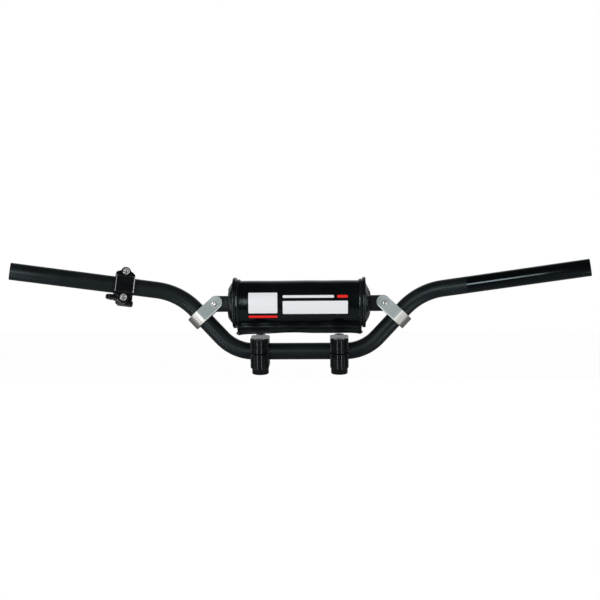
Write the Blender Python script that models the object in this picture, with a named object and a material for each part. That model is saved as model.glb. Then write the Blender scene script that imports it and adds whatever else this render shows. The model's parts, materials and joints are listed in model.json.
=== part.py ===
"""Motocross handlebar: bent tube, padded crossbar on two straps, two riser clamps and a bare lever perch.

Lengths are in millimetres and angles in degrees until a mesh is made. X runs to the rider's right, Z up
along the riser posts, and the rider sits on the -Y side. The origin is the middle of the clamped length.
"""

import math

import bmesh
import bpy
from mathutils import Matrix, Vector

MM = 0.001
GAP = 0.3  # left between pieces that bear on each other

# Main tube: straight centre, lower bend, riser, upper bend, grip
TUBE_R = 11.1
TUBE_WALL = 2.2
LOWER_BEND_X = 86.0
UPPER_BEND_X = 159.5
UPPER_BEND_Z = 78.15
LOWER_BEND_IN_CLAMP = 4.26  # the lower bend starts this far inside the clamp's outer end
UPPER_BEND_PAST_STRAP = 3.27  # straight riser between the strap and the upper bend
GRIP_SWEEP = 15.0
GRIP_RISE = 7.72
GRIP_LENGTH = 220.5
LEAN = 8.0  # the rise plane leans away from the rider in the clamps

# Crossbar: a round tube pressed to an oval at each end
CROSSBAR_Z = 63.3
CROSSBAR_R = 8.0
CROSSBAR_WALL = 1.5
TAB_HEIGHT = 21.3
TAB_THICKNESS = 11.0
TAB_TAPER = 14.0
TAB_IN_PAD = 2.6
TAB_CLEARANCE = 1.3

# Straps that hold the crossbar on the risers
STRAP_REACH = 23.7  # from the riser's axis to the strap screw
STRAP_WIDTH = 17.5
STRAP_THICKNESS = 3.4
STRAP_SLACK = 1.8  # how far the strap's bend stands off the riser's outer side
STRAP_END_PAST_SCREW = 3.0
STRAP_SCREW_R = 2.5
STRAP_HEAD_R = 3.9
STRAP_HEAD_H = 3.0
STRAP_NUT_FLATS = 8.0
STRAP_NUT_H = 4.0
STRAP_LEG_RUN = 0.9  # straight part of a leg beyond the screw head

# Crossbar pad
PAD_STRAP_GAP = 6.35  # between the pad's end and the strap
PAD_HALF_Y = 27.0
PAD_HALF_Z = 30.2
PAD_LIFT = 1.3  # the pad's middle above the crossbar's
PAD_DOME = 10.0
PAD_SQUARENESS = 2.35
COVER_WALL = 1.6
PIPING = 3.4
PIPING_HALF = 1.1
FLAP_DROP = 10.1
FLAP_THICKNESS = 3.0
FLAP_Y = -8.0
FOAM_SLIT = 1.4

# Riser clamps
CLAMP_X = 52.6
CLAMP_HALF_X = 12.2
CLAMP_HALF_Y = 14.5
CLAMP_TOP = 19.3
CLAMP_FOOT = -21.2
SPIGOT_R = 11.15
SPIGOT_DROP = 9.1
SPLIT = 1.2
BOSS_Y = 17.6
BOSS_R = 7.3
BOLT_R = 3.0
BOLT_HEAD_R = 5.0
BOLT_HEAD_H = 5.6
CLAMP_BORE_GAP = 0.4  # the tube starts to bend just inside the clamp
STUD_HOLE_R = 4.25
STUD_HOLE_DEPTH = 16.0

# Lever perch on the left grip
PERCH_ALONG = 74.0
PERCH_TILT = 14.2
PERCH_HALF_X = 12.5
PERCH_SCREW_Z = 17.5
PERCH_SCREW_R = 3.0
PERCH_HEAD_R = 5.4
PERCH_HEAD_H = 4.6
PERCH_EAR_DEPTH = 9.4
PERCH_DEPTH = 14.2
PIVOT_X = -14.2
PIVOT_Y = 11.2
PIVOT_R = 3.1
TONGUE_R = 7.5
TONGUE_TOP = -11.8
TONGUE_STEP = 0.4  # how far the block and ears stay below the tongue's face
TONGUE_H = 5.4
PERCH_BLOCK_DEPTH = 18.0
CABLE_HOLE_R = 3.2
CABLE_HOLE_Y = 13.4

TUBE_FACET_COUNT = 24
SCREW_FACET_COUNT = 18


def clear_scene():
    for obj in list(bpy.data.objects):
        bpy.data.objects.remove(obj, do_unlink=True)


def make_material(name, colour, metallic, roughness):
    material = bpy.data.materials.new(name)
    material.use_nodes = True
    shader = material.node_tree.nodes["Principled BSDF"]
    shader.inputs["Base Color"].default_value = (*colour, 1.0)
    shader.inputs["Metallic"].default_value = metallic
    shader.inputs["Roughness"].default_value = roughness
    return material


def make_object(name, mesh_builder, material, matrix=None):
    """One object from a bmesh in millimetres, with its normals out and its corners kept sharp."""
    bmesh.ops.recalc_face_normals(mesh_builder, faces=mesh_builder.faces)
    bmesh.ops.scale(mesh_builder, vec=(MM, MM, MM), verts=mesh_builder.verts)
    mesh = bpy.data.meshes.new(name)
    mesh_builder.to_mesh(mesh)
    mesh_builder.free()
    for polygon in mesh.polygons:
        polygon.use_smooth = True
    mesh.set_sharp_from_angle(angle=math.radians(35))
    obj = bpy.data.objects.new(name, mesh)
    bpy.context.scene.collection.objects.link(obj)
    if material:
        mesh.materials.append(material)
    if matrix:
        placed = matrix.copy()
        placed.translation = placed.translation * MM
        obj.matrix_world = placed
    return obj


def loft(builder, rings, caps=True):
    """Quads between rings of equal point counts, closed by a face at each end."""
    made = [[builder.verts.new(point) for point in ring] for ring in rings]
    for first, second in zip(made, made[1:]):
        for i in range(len(first)):
            j = (i + 1) % len(first)
            builder.faces.new((first[i], first[j], second[j], second[i]))
    if caps:
        builder.faces.new(made[0])
        builder.faces.new(made[-1])
    return made


def bridge(builder, first, second):
    """Quads between two rings that are already in the mesh."""
    for i in range(len(first)):
        j = (i + 1) % len(first)
        builder.faces.new((first[i], first[j], second[j], second[i]))


def shell(builder, outer, inner):
    """A pipe-like wall: outer and inner rings joined at both ends."""
    outside = loft(builder, outer, caps=False)
    inside = loft(builder, inner, caps=False)
    bridge(builder, outside[0], inside[0])
    bridge(builder, outside[-1], inside[-1])


def circle(radius, count, at=(0.0, 0.0)):
    """Points of a circle as pairs."""
    return [
        (at[0] + radius * math.cos(2 * math.pi * i / count), at[1] + radius * math.sin(2 * math.pi * i / count))
        for i in range(count)
    ]


def polar_oval(angle, half_y, half_z, power):
    """The point at this angle on an oval that grows squarer with its power."""
    c = math.cos(angle)
    s = math.sin(angle)
    radius = (abs(c / half_y) ** power + abs(s / half_z) ** power) ** (-1 / power)
    return radius * c, radius * s


def turned(builder, profile, count, matrix=None):
    """A solid of revolution about Z from (radius, height) pairs, closed at both ends."""
    rings = [[Vector((x, y, height)) for x, y in circle(radius, count)] for radius, height in profile]
    if matrix:
        rings = [[matrix @ point for point in ring] for ring in rings]
    loft(builder, rings)


def extruded(builder, outline, low, high, axes="xzy", bevel_low=0.0, bevel_high=0.0):
    """An outline of pairs pushed along the third axis, with an optional chamfer at each end."""
    steps = [(low, bevel_low)]
    if bevel_low:
        steps.append((low + bevel_low, 0.0))
    if bevel_high:
        steps.append((high - bevel_high, 0.0))
    steps.append((high, bevel_high))
    order = [axes.index(axis) for axis in "xyz"]
    rings = []
    for level, inset in steps:
        flat = inset_outline(outline, inset) if inset else outline
        rings.append([Vector([(a, b, level)[k] for k in order]) for a, b in flat])
    loft(builder, rings)


def inset_outline(outline, distance):
    """The outline moved inward by this distance. Its points run anticlockwise."""
    moved = []
    count = len(outline)
    for i in range(count):
        before = Vector(outline[i - 1])
        here = Vector(outline[i])
        after = Vector(outline[(i + 1) % count])
        first = (here - before).normalized()
        second = (after - here).normalized()
        normal_a = Vector((-first.y, first.x))
        normal_b = Vector((-second.y, second.x))
        middle = (normal_a + normal_b).normalized()
        moved.append(tuple(here + middle * (distance / max(0.5, middle.dot(normal_a)))))
    return moved


def box_points(low_a, high_a, low_b, high_b):
    return [(low_a, low_b), (high_a, low_b), (high_a, high_b), (low_a, high_b)]


def cutter(name, builder, matrix=None):
    obj = make_object(name, builder, None, matrix)
    obj.hide_render = True
    obj.display_type = "WIRE"
    return obj


def apply_cut(target, tool, operation="DIFFERENCE"):
    modifier = target.modifiers.new(tool.name, "BOOLEAN")
    modifier.operation = operation
    modifier.solver = "EXACT"
    modifier.object = tool


def lean_matrix():
    return Matrix.Rotation(-math.radians(LEAN), 4, "X")


def grip_direction():
    """Unit vector along the right grip, outward, in the plane frame of the bar."""
    rise = math.radians(GRIP_RISE)
    sweep = math.radians(GRIP_SWEEP)
    return Vector((math.cos(rise) * math.cos(sweep), -math.cos(rise) * math.sin(sweep), math.sin(rise)))


def bend_points(before, corner, after, reach, steps):
    """The arc that rounds a corner, from this far before it to this far after it."""
    to_before = (before - corner).normalized()
    to_after = (after - corner).normalized()
    half = to_before.angle(to_after) / 2
    centre = corner + (to_before + to_after).normalized() * reach / math.cos(half)
    start = corner + to_before * reach - centre
    end = corner + to_after * reach - centre
    total = start.angle(end)
    points = []
    for i in range(steps + 1):
        share = i / steps
        points.append(
            centre + (start * math.sin((1 - share) * total) + end * math.sin(share * total)) / math.sin(total)
        )
    return points


def tube_path(steps):
    """Centreline of the whole bar from the left end to the right."""
    middle = Vector((0, 0, 0))
    lower = Vector((LOWER_BEND_X, 0, 0))
    upper = Vector((UPPER_BEND_X, 0, UPPER_BEND_Z))
    end = upper + grip_direction() * GRIP_LENGTH
    clamp_end = CLAMP_X + CLAMP_HALF_X
    strap_end = strap_foot() + STRAP_WIDTH / 2
    right = bend_points(middle, lower, upper, LOWER_BEND_X - clamp_end + LOWER_BEND_IN_CLAMP, steps)
    right += bend_points(lower, upper, end, (upper - lower).length - strap_end - UPPER_BEND_PAST_STRAP, steps)
    right.append(end)
    left = [Vector((-point.x, point.y, point.z)) for point in reversed(right)]
    return left + right


def rings_along(path, radius, count):
    """Rings square to the path. The path stays near one plane, so Y serves as the guide throughout."""
    rings = []
    for i, point in enumerate(path):
        ahead = (path[min(i + 1, len(path) - 1)] - point).normalized()
        behind = (point - path[max(i - 1, 0)]).normalized()
        tangent = (ahead + behind).normalized()
        side = Vector((0, 1, 0)) - tangent * tangent.y
        side.normalize()
        up = tangent.cross(side)
        stretch = 1.0
        if 0 < i < len(path) - 1:
            stretch = 1.0 / max(0.9, tangent.dot(ahead))
        rings.append([point + (side * a + up * b) * stretch for a, b in circle(radius, count)])
    return rings


def build_handlebar(material):
    builder = bmesh.new()
    outer = rings_along(tube_path(7), TUBE_R, TUBE_FACET_COUNT)
    inner = rings_along(tube_path(4), TUBE_R - TUBE_WALL, TUBE_FACET_COUNT)
    shell(builder, outer, inner)
    return make_object("handlebar_tube", builder, material, lean_matrix())


def riser_angle():
    return math.atan2(UPPER_BEND_Z, UPPER_BEND_X - LOWER_BEND_X)


def strap_screw_x():
    """Where the crossbar's axis passes at the strap's reach from the riser's axis."""
    angle = riser_angle()
    return LOWER_BEND_X + (CROSSBAR_Z * math.cos(angle) - STRAP_REACH) / math.sin(angle)


def strap_foot():
    """How far up the riser from its lower corner the strap sits."""
    angle = riser_angle()
    return (strap_screw_x() - LOWER_BEND_X) * math.cos(angle) + CROSSBAR_Z * math.sin(angle)


def pad_half():
    """Half the pad's length between its bound seams, so that its ends stay clear of the straps."""
    strap_end = strap_screw_x() - STRAP_END_PAST_SCREW * math.sin(riser_angle()) - STRAP_WIDTH / 2
    return strap_end - PAD_STRAP_GAP - PAD_DOME - PIPING_HALF


def crossbar_section(x, less=0.0):
    """Half depth, half height and squareness of the crossbar at this station."""
    tab_from = pad_half() - TAB_IN_PAD - TAB_TAPER
    share = min(1.0, max(0.0, (abs(x) - tab_from) / TAB_TAPER))
    share = share * share * (3 - 2 * share)
    half_y = CROSSBAR_R + (TAB_THICKNESS / 2 - CROSSBAR_R) * share - less
    half_z = CROSSBAR_R + (TAB_HEIGHT / 2 - CROSSBAR_R) * share - less
    return half_y, half_z, 2 + 2 * share


def crossbar_rings(stations, less, count):
    rings = []
    for x in stations:
        half_y, half_z, power = crossbar_section(x, less)
        ring = []
        for i in range(count):
            y, z = polar_oval(2 * math.pi * (i + 0.5) / count, half_y, half_z, power)
            ring.append(Vector((x, y, CROSSBAR_Z + z)))
        rings.append(ring)
    return rings


def build_crossbar(material):
    builder = bmesh.new()
    end = strap_screw_x() + TAB_HEIGHT / 2 + 2
    tab_full = pad_half() - TAB_IN_PAD
    right = [tab_full - TAB_TAPER * (4 - i) / 4 for i in range(5)] + [end]
    stations = [-x for x in reversed(right)] + right
    shell(builder, crossbar_rings(stations, 0.0, 20), crossbar_rings(stations, CROSSBAR_WALL, 20))
    bar = make_object("crossbar", builder, material, lean_matrix())

    # Trims each end beside the riser, so that its strap covers it.
    angle = riser_angle()
    along = Vector((math.cos(angle), math.sin(angle)))
    toward = Vector((-math.sin(angle), math.cos(angle)))
    screw = Vector((strap_screw_x(), CROSSBAR_Z))
    near = TUBE_R + TAB_CLEARANCE - STRAP_REACH
    side = STRAP_WIDTH / 2 - 0.6
    past = TAB_HEIGHT / 2 + 3
    half = [
        screw + toward * near + along * ((-past - toward.y * near) / along.y),
        screw + toward * near + along * (side - 4),
        screw + toward * (near + 1.2) + along * (side - 1.2),
        screw + toward * (near + 4) + along * side,
        screw + along * side + toward * ((past - along.y * side) / toward.y),
    ]
    outline = [(point.x, point.y) for point in half] + [(-point.x, point.y) for point in reversed(half)]
    builder = bmesh.new()
    extruded(builder, outline, -TAB_THICKNESS, TAB_THICKNESS)
    apply_cut(bar, cutter("crossbar_end_shape", builder, lean_matrix()), "INTERSECT")

    builder = bmesh.new()
    for sign in (-1, 1):
        across = Matrix.Translation((sign * strap_screw_x(), 0, CROSSBAR_Z)) @ Matrix.Rotation(math.pi / 2, 4, "X")
        turned(
            builder,
            [(STRAP_SCREW_R + GAP, -TAB_THICKNESS), (STRAP_SCREW_R + GAP, TAB_THICKNESS)],
            SCREW_FACET_COUNT,
            across,
        )
    apply_cut(bar, cutter("crossbar_holes", builder, lean_matrix()))
    return bar


def strap_frame(sign):
    """X points from the riser's axis to the strap screw, Y away from the rider."""
    angle = riser_angle()
    along = Vector((math.cos(angle), 0, math.sin(angle)))
    screw = Vector((strap_screw_x(), 0, CROSSBAR_Z))
    foot = Vector((LOWER_BEND_X, 0, 0)) + along * strap_foot()
    toward = (screw - foot).normalized()
    toward.x *= sign
    foot.x *= sign
    away = Vector((0, 1, 0))
    width = toward.cross(away)
    matrix = Matrix((toward, away, width)).transposed().to_4x4()
    matrix.translation = foot
    return lean_matrix() @ matrix


def strap_stations():
    """(place, half width) from the tip of the front leg round the riser to the tip of the rear leg."""
    out_x = STRAP_SLACK / 2
    middle_r = TUBE_R + GAP + out_x + STRAP_THICKNESS / 2
    leg_y = TAB_THICKNESS / 2 + GAP + STRAP_THICKNESS / 2
    bend_x = STRAP_REACH - STRAP_HEAD_R - STRAP_LEG_RUN
    distance = math.hypot(bend_x + out_x, leg_y)
    leave = math.atan2(bend_x + out_x, leg_y) - math.acos(middle_r / distance)
    end_r = STRAP_WIDTH / 2
    centre_x = STRAP_REACH + STRAP_END_PAST_SCREW
    front = []
    for degrees in (12, 28, 45, 65, 90):
        angle = math.radians(degrees)
        front.append((Vector((centre_x + end_r * math.cos(angle), -leg_y)), end_r * math.sin(angle)))
    front.append((Vector((bend_x, -leg_y)), end_r))
    arc = []
    steps = 14
    for i in range(steps + 1):
        angle = leave - (math.pi + 2 * leave) * i / steps
        arc.append((Vector((middle_r * math.sin(angle) - out_x, -middle_r * math.cos(angle))), end_r))
    rear = [(Vector((place.x, -place.y)), half) for place, half in reversed(front)]
    return front + arc + rear


def build_strap(name, sign, material):
    matrix = strap_frame(sign)
    stations = strap_stations()
    half_t = STRAP_THICKNESS / 2
    edge = 0.4
    rings = []
    for i, (place, half) in enumerate(stations):
        ahead = stations[min(i + 1, len(stations) - 1)][0] - place
        behind = place - stations[max(i - 1, 0)][0]
        ahead = ahead.normalized() if ahead.length else behind.normalized()
        behind = behind.normalized() if behind.length else ahead
        tangent = (ahead + behind).normalized()
        normal = Vector((-tangent.y, tangent.x)) / max(0.8, tangent.dot(ahead))
        ring = []
        for a, b in (
            (-half_t + edge, -half),
            (half_t - edge, -half),
            (half_t, -half + edge),
            (half_t, half - edge),
            (half_t - edge, half),
            (-half_t + edge, half),
            (-half_t, half - edge),
            (-half_t, -half + edge),
        ):
            ring.append(Vector((place.x + normal.x * a, place.y + normal.y * a, b)))
        rings.append(ring)
    builder = bmesh.new()
    loft(builder, rings)
    strap = make_object(name, builder, material, matrix)
    builder = bmesh.new()
    through = Matrix.Translation((STRAP_REACH, 0, 0)) @ Matrix.Rotation(math.pi / 2, 4, "X")
    depth = TAB_THICKNESS + STRAP_THICKNESS * 2
    turned(builder, [(STRAP_SCREW_R + GAP, -depth), (STRAP_SCREW_R + GAP, depth)], SCREW_FACET_COUNT, through)
    apply_cut(strap, cutter(name + "_holes", builder, matrix))
    return strap


def hexagon(radius_flats, count):
    """A hexagon of this half width across flats, with count points spread round it."""
    points = []
    for i in range(count):
        angle = 2 * math.pi * i / count
        within = angle % (math.pi / 3) - math.pi / 6
        radius = radius_flats / math.cos(within)
        points.append((radius * math.cos(angle), radius * math.sin(angle)))
    return points


def socket_screw(name, material, matrix, shank_r, length, head_r, head_h, key):
    """A socket-head screw along Z: the head's seat at zero, its shank below."""
    profile = [
        circle(shank_r - 0.4, SCREW_FACET_COUNT) + [-length],
        circle(shank_r, SCREW_FACET_COUNT) + [-length + 0.8],
        circle(shank_r, SCREW_FACET_COUNT) + [0.0],
        circle(head_r, SCREW_FACET_COUNT) + [0.0],
        circle(head_r, SCREW_FACET_COUNT) + [head_h - 0.7],
        circle(head_r - 0.7, SCREW_FACET_COUNT) + [head_h],
        hexagon(key / 2, SCREW_FACET_COUNT) + [head_h],
        hexagon(key / 2, SCREW_FACET_COUNT) + [head_h * 0.45],
    ]
    builder = bmesh.new()
    loft(builder, [[Vector((x, y, ring[-1])) for x, y in ring[:-1]] for ring in profile])
    return make_object(name, builder, material, matrix)


def build_strap_fasteners(side, sign, steel):
    matrix = strap_frame(sign)
    face = TAB_THICKNESS / 2 + GAP + STRAP_THICKNESS + GAP
    toward_rider = Matrix.Rotation(math.pi / 2, 4, "X")
    seat = matrix @ Matrix.Translation((STRAP_REACH, -face, 0)) @ toward_rider
    length = 2 * face + STRAP_NUT_H + 1.6
    socket_screw(side + "_strap_screw", steel, seat, STRAP_SCREW_R, length, STRAP_HEAD_R, STRAP_HEAD_H, 3.4)
    builder = bmesh.new()
    count = SCREW_FACET_COUNT
    rings = []
    for points, height in (
        (circle(STRAP_SCREW_R + GAP, count), 0.0),
        (circle(STRAP_NUT_FLATS / 2, count), 0.0),
        (hexagon(STRAP_NUT_FLATS / 2, count), 0.5),
        (hexagon(STRAP_NUT_FLATS / 2, count), STRAP_NUT_H - 0.5),
        (circle(STRAP_NUT_FLATS / 2, count), STRAP_NUT_H),
        (circle(STRAP_SCREW_R + GAP, count), STRAP_NUT_H),
    ):
        rings.append([Vector((x, y, height)) for x, y in points])
    made = loft(builder, rings, caps=False)
    bridge(builder, made[-1], made[0])
    rear = matrix @ Matrix.Translation((STRAP_REACH, face, 0)) @ Matrix.Rotation(-math.pi / 2, 4, "X")
    make_object(side + "_strap_nut", builder, steel, rear)


def pad_rings(stations, less, count):
    """Rings of the pad round the crossbar. A station is (x, share of the full section, extra all round)."""
    hole_y = TAB_THICKNESS / 2 + 0.5
    hole_z = TAB_HEIGHT / 2 + 0.5
    rings = []
    for x, share, extra in stations:
        ring = []
        for i in range(count):
            angle = 2 * math.pi * (i + 0.5) / count
            full = Vector(polar_oval(angle, PAD_HALF_Y - less + extra, PAD_HALF_Z - less + extra, PAD_SQUARENESS))
            hole = Vector(polar_oval(angle, hole_y, hole_z, 4))
            full.y += PAD_LIFT
            point = hole.lerp(full, share)
            ring.append(Vector((x, point.x, CROSSBAR_Z + point.y)))
        rings.append(ring)
    return rings


def dome_stations(start, depth, shares):
    """Stations of the bulging end from its rim to the crossbar hole."""
    return [(start + depth * math.sqrt(max(0.0, 1 - share * share)), share, 0.0) for share in shares]


def mirrored(stations):
    return [(-x, share, extra) for x, share, extra in reversed(stations)] + stations


def build_cover(material):
    count = 32
    half = pad_half()
    outer = [
        (half - 3.0, 1.0, 0.0),
        (half - PIPING_HALF, 1.0, 0.4),
        (half - PIPING_HALF * 0.6, 1.0, PIPING),
        (half + PIPING_HALF * 0.6, 1.0, PIPING),
        (half + PIPING_HALF, 1.0, 0.0),
    ]
    outer += dome_stations(half + PIPING_HALF, PAD_DOME, (0.9, 0.74, 0.5, 0.25, 0.0))
    inner = [(half - 1.0, 1.0, 0.0)]
    inner += dome_stations(half - 1.0, PAD_DOME - 0.4, (0.86, 0.6, 0.3, 0.0))
    builder = bmesh.new()
    shell(builder, pad_rings(mirrored(outer), 0.0, count), pad_rings(mirrored(inner), COVER_WALL, count))
    cover = make_object("pad_cover", builder, material, lean_matrix())

    # The closing flap hangs under the pad and runs nearly its whole length.
    low = CROSSBAR_Z + PAD_LIFT - PAD_HALF_Z
    flap = [
        (FLAP_Y, low - FLAP_DROP),
        (FLAP_Y + FLAP_THICKNESS, low - FLAP_DROP + 0.6),
        (FLAP_Y + FLAP_THICKNESS + 1.5, low + 0.9),
        (FLAP_Y - 3.5, low + 1.4),
        (FLAP_Y - 0.5, low - 2.5),
    ]
    builder = bmesh.new()
    extruded(builder, flap, -half + 2.4, half - 2.4, "yzx", 0.4, 0.4)
    apply_cut(cover, cutter("pad_flap", builder, lean_matrix()), "UNION")
    return cover


def build_foam(material):
    """A foam roll, slit along its underside so that it presses over the crossbar."""
    less = COVER_WALL + GAP
    count = 30
    bore_y = CROSSBAR_R + 0.6
    bore_z = TAB_HEIGHT / 2 + 0.6
    gape = math.radians(270)
    start = math.asin(FOAM_SLIT / 2 / PAD_HALF_Z)
    start_in = math.asin(FOAM_SLIT / 2 / bore_z)
    end = pad_half() - 1.5
    stations = [(-end - 5.0, 0.8), (-end, 1.0), (end, 1.0), (end + 5.0, 0.8)]
    rings = []
    for x, share in stations:
        ring = []
        for i in range(count + 1):
            angle = gape + start + (2 * math.pi - 2 * start) * i / count
            y, z = polar_oval(angle, PAD_HALF_Y - less, PAD_HALF_Z - less, PAD_SQUARENESS)
            ring.append(Vector((x, y * share, CROSSBAR_Z + PAD_LIFT + z * share)))
        for i in range(17):
            angle = gape - start_in - (2 * math.pi - 2 * start_in) * i / 16
            y, z = polar_oval(angle, bore_y, bore_z, 2)
            ring.append(Vector((x, y, CROSSBAR_Z + z)))
        rings.append(ring)
    builder = bmesh.new()
    loft(builder, rings)
    return make_object("pad_foam", builder, material, lean_matrix())


def clamp_outline():
    """Plan of a clamp half: a block with a round boss in front and behind."""
    corner = 2.0
    meet = math.acos((BOSS_Y - CLAMP_HALF_Y) / BOSS_R)
    points = []
    for turn in (0, 1):
        flip = -1 if turn else 1
        side = CLAMP_HALF_Y - corner
        half = [
            (CLAMP_HALF_X, -side),
            (CLAMP_HALF_X, -side * 0.62),
            (CLAMP_HALF_X, -side * 0.3),
            (CLAMP_HALF_X, 0.0),
            (CLAMP_HALF_X, side * 0.3),
            (CLAMP_HALF_X, side * 0.62),
            (CLAMP_HALF_X, side),
            (CLAMP_HALF_X - corner * 0.3, CLAMP_HALF_Y - corner * 0.3),
            (CLAMP_HALF_X - corner, CLAMP_HALF_Y),
        ]
        for i in range(11):
            angle = math.pi / 2 + (math.pi - meet) * (1 - 2 * i / 10)
            angle = math.pi - angle
            half.append((BOSS_R * math.cos(angle), BOSS_Y + BOSS_R * math.sin(angle)))
        half.append((-CLAMP_HALF_X + corner, CLAMP_HALF_Y))
        half.append((-CLAMP_HALF_X + corner * 0.3, CLAMP_HALF_Y - corner * 0.3))
        points += [(x * flip, y * flip) for x, y in half]
    return points


def clamp_cutter(name, x, upper):
    """The tube's bore, and the holes of the two bolts, as one tool."""
    builder = bmesh.new()
    bore_r = (TUBE_R + CLAMP_BORE_GAP) / math.cos(math.pi / 28)
    sideways = Matrix.Rotation(math.pi / 2, 4, "Y")
    turned(builder, [(bore_r, -CLAMP_HALF_X - 3), (bore_r, CLAMP_HALF_X + 3)], 28, sideways)
    seat = CLAMP_TOP - BOLT_HEAD_H - 0.6
    for sign in (-1, 1):
        at = Matrix.Translation((0, sign * BOSS_Y, 0))
        hole = BOLT_R + GAP
        if upper:
            profile = [(hole, -2.0), (hole, seat), (BOLT_HEAD_R + 0.4, seat), (BOLT_HEAD_R + 0.4, CLAMP_TOP + 3)]
        else:
            profile = [(hole, CLAMP_FOOT + 4.5), (hole, 2.0)]
        turned(builder, profile, SCREW_FACET_COUNT, at)
    if not upper:
        foot = CLAMP_FOOT - SPIGOT_DROP
        turned(builder, [(STUD_HOLE_R, foot - 2), (STUD_HOLE_R, foot + STUD_HOLE_DEPTH)], SCREW_FACET_COUNT)
    return cutter(name, builder, Matrix.Translation((x, 0, 0)))


def build_clamp(side, sign, material, steel):
    outline = clamp_outline()
    x = sign * CLAMP_X
    at = Matrix.Translation((x, 0, 0))

    def level(points, z):
        return [Vector((a, b, z)) for a, b in points]

    half_split = SPLIT / 2
    edge = 0.8
    builder = bmesh.new()
    loft(
        builder,
        [
            level(inset_outline(outline, 0.5), half_split),
            level(outline, half_split + 0.5),
            level(outline, CLAMP_TOP - edge),
            level(inset_outline(outline, edge), CLAMP_TOP),
        ],
    )
    cap = make_object(side + "_upper_clamp", builder, material, at)
    apply_cut(cap, clamp_cutter(side + "_upper_holes", x, True))

    foot = CLAMP_FOOT - SPIGOT_DROP
    inset = inset_outline(outline, 1.7)
    angles = [math.atan2(b, a) for a, b in inset]

    def spigot(radius, z):
        return [Vector((radius * math.cos(angle), radius * math.sin(angle), z)) for angle in angles]

    builder = bmesh.new()
    loft(
        builder,
        [
            level(inset_outline(outline, 0.5), -half_split),
            level(outline, -half_split - 0.5),
            level(outline, CLAMP_FOOT + 1.7),
            level(inset, CLAMP_FOOT),
            spigot(SPIGOT_R, CLAMP_FOOT),
            spigot(SPIGOT_R, foot + 0.8),
            spigot(SPIGOT_R - 0.8, foot),
        ],
    )
    post = make_object(side + "_lower_clamp", builder, material, at)
    apply_cut(post, clamp_cutter(side + "_lower_holes", x, False))

    seat = CLAMP_TOP - BOLT_HEAD_H - 0.6 + GAP
    length = seat - CLAMP_FOOT - 4.5 - 1.2
    for place, y in (("front", -BOSS_Y), ("rear", BOSS_Y)):
        name = side + "_" + place + "_clamp_bolt"
        matrix = Matrix.Translation((x, y, seat))
        socket_screw(name, steel, matrix, BOLT_R, length, BOLT_HEAD_R, BOLT_HEAD_H, 5.0)


def perch_frame():
    """X runs inboard along the left grip, Y away from the rider and Z up, all tilted with the perch."""
    outward = grip_direction()
    outward.x = -outward.x
    place = Vector((-UPPER_BEND_X, 0, UPPER_BEND_Z)) + outward * PERCH_ALONG
    inboard = -outward
    away = Vector((0, 1, 0)) - inboard * inboard.y
    away.normalize()
    up = inboard.cross(away)
    matrix = Matrix((inboard, away, up)).transposed().to_4x4()
    matrix.translation = place
    return lean_matrix() @ matrix @ Matrix.Rotation(-math.radians(PERCH_TILT), 4, "X")


def perch_outline():
    """The clamp faces seen from the rider: round ears above and below a wider waist."""
    crown = 6.5
    low_crown = 7.4
    waist_top = PERCH_SCREW_Z - 0.8
    waist_low = TONGUE_TOP - TONGUE_STEP - 0.2
    points = [(PERCH_HALF_X, waist_low), (PERCH_HALF_X, waist_top - 2.6), (PERCH_HALF_X - 2.6, waist_top)]
    for i in range(9):
        angle = math.radians(12 + 156 * i / 8)
        points.append((crown * math.cos(angle), PERCH_SCREW_Z + crown * math.sin(angle)))
    points += [(-PERCH_HALF_X + 1.0, waist_top), (-PERCH_HALF_X, waist_top - 1.2), (-PERCH_HALF_X, waist_low)]
    for i in range(9):
        angle = math.radians(170 + 200 * i / 8)
        points.append((low_crown * math.cos(angle), -PERCH_SCREW_Z + low_crown * math.sin(angle)))
    return points


def perch_holes(name, matrix):
    builder = bmesh.new()
    bore_r = (TUBE_R + GAP) / math.cos(math.pi / 28)
    sideways = Matrix.Rotation(math.pi / 2, 4, "Y")
    turned(builder, [(bore_r, -PERCH_HALF_X - 6), (bore_r, PERCH_HALF_X + 6)], 28, sideways)
    for sign in (-1, 1):
        through = Matrix.Translation((0, 0, sign * PERCH_SCREW_Z)) @ Matrix.Rotation(math.pi / 2, 4, "X")
        hole = PERCH_SCREW_R + GAP
        turned(builder, [(hole, -PERCH_EAR_DEPTH - 12), (hole, PERCH_EAR_DEPTH + 12)], SCREW_FACET_COUNT, through)
    return cutter(name, builder, matrix)


def build_perch_cap(matrix, material):
    builder = bmesh.new()
    extruded(builder, perch_outline(), -PERCH_EAR_DEPTH, -0.6, "xzy", 0.7, 0.0)
    cap = make_object("perch_cap", builder, material, matrix)
    waist_top = PERCH_SCREW_Z - PERCH_HEAD_R - GAP
    builder = bmesh.new()
    front = [
        (-PERCH_DEPTH, -waist_top + 2.0),
        (-PERCH_DEPTH, waist_top - 2.0),
        (-PERCH_DEPTH + 2.4, waist_top),
        (-6.0, waist_top),
        (-6.0, -waist_top),
        (-PERCH_DEPTH + 2.4, -waist_top),
    ]
    extruded(builder, front, -PERCH_HALF_X + 0.3, PERCH_HALF_X - 0.3, "yzx", 0.9, 0.9)
    apply_cut(cap, cutter("perch_cap_front", builder, matrix), "UNION")
    apply_cut(cap, perch_holes("perch_cap_holes", matrix))
    return cap


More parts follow.
